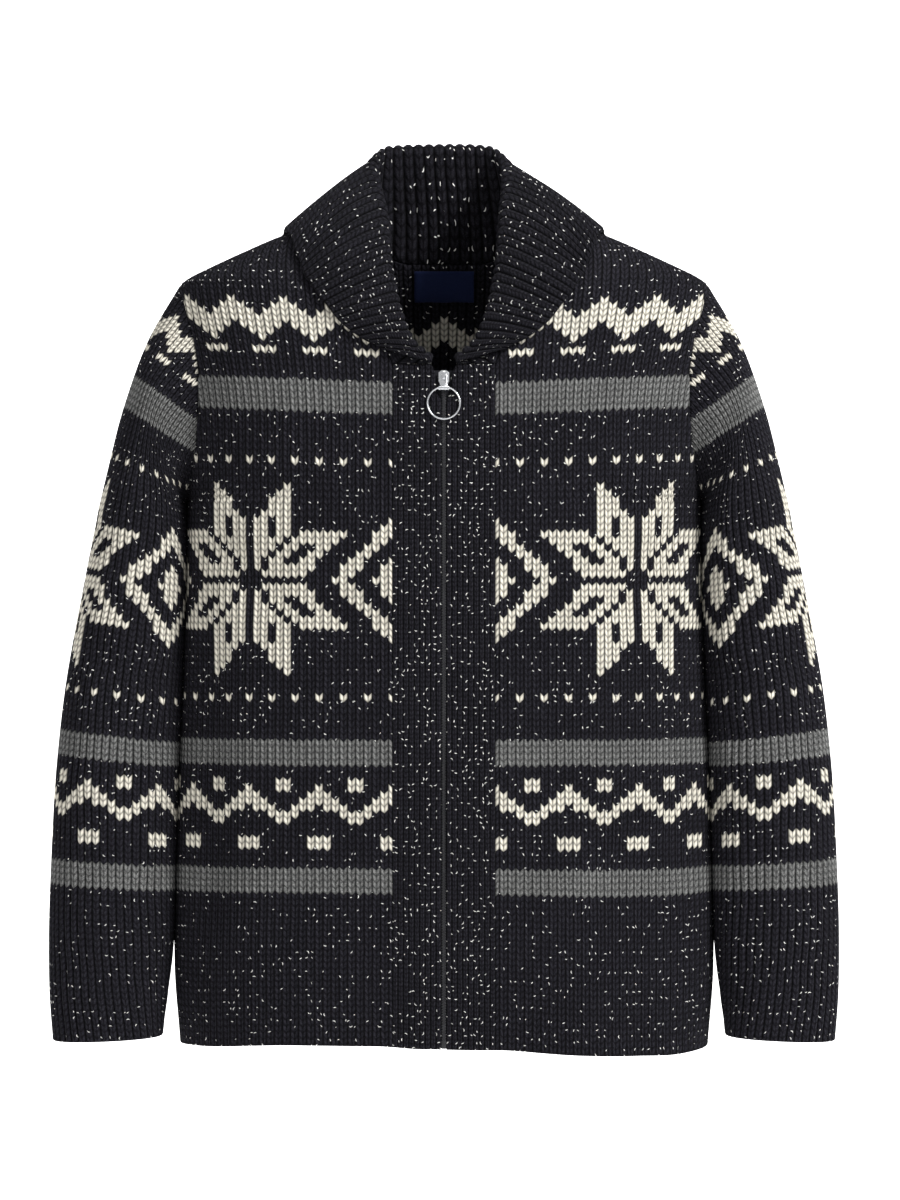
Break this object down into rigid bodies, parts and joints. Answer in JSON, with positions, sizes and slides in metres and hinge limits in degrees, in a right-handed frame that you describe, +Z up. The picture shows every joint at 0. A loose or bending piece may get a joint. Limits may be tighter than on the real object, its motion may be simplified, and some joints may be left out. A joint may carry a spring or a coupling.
{
  "type": "shawl-collared cowichan cardigan, filled out with no wearer",
  "caption": "Heavy patterned wool cardigan with rolled shawl collar, long sleeves, plain front bands and a full-length zip with a ring pull, standing open and hollow.",
  "frame": {"origin": "the neck base on the wearer's shoulders, midway between the shoulder tips, where the garment is held", "axes": "+Z up, front towards -Y, +X to the right when the front is looked at"},
  "size_m": [0.698, 0.214, 0.802],
  "materials": {
    "patterned_knit": "bulky wool rib, charcoal flecked with white, with cream and grey motifs",
    "plain_rib": "bulky wool rib, charcoal densely flecked with white",
    "zip_tape": "black woven tape with black moulded teeth",
    "label": "navy woven label, bare",
    "silver_metal": "polished nickel"
  },
  "bodies": {
    "garment": {"back": "patterned_knit", "front_left": "patterned_knit", "band_left": "plain_rib", "sleeve_left": "patterned_knit", "zip_tape_left": "zip_tape", "front_right": "patterned_knit", "band_right": "plain_rib", "sleeve_right": "patterned_knit", "zip_tape_right": "zip_tape", "shawl_collar": "plain_rib", "neck_label": "label", "zip_slider": "silver_metal"},
    "tab": {"pull_tab": "silver_metal"},
    "ring": {"pull_ring": "silver_metal"}
  },
  "joints": [
    {"name": "tab_flip", "type": "hinge", "parent": "garment", "child": "tab", "pos_m": [0, -0.10019, -0.12825], "axis": [-1, 0, 0], "range_deg": [0, 110]},
    {"name": "ring_swing", "type": "hinge", "parent": "tab", "child": "ring", "pos_m": [0, -0.10155, -0.13947], "axis": [-1, 0, 0], "range_deg": [0, 60]}
  ]
}
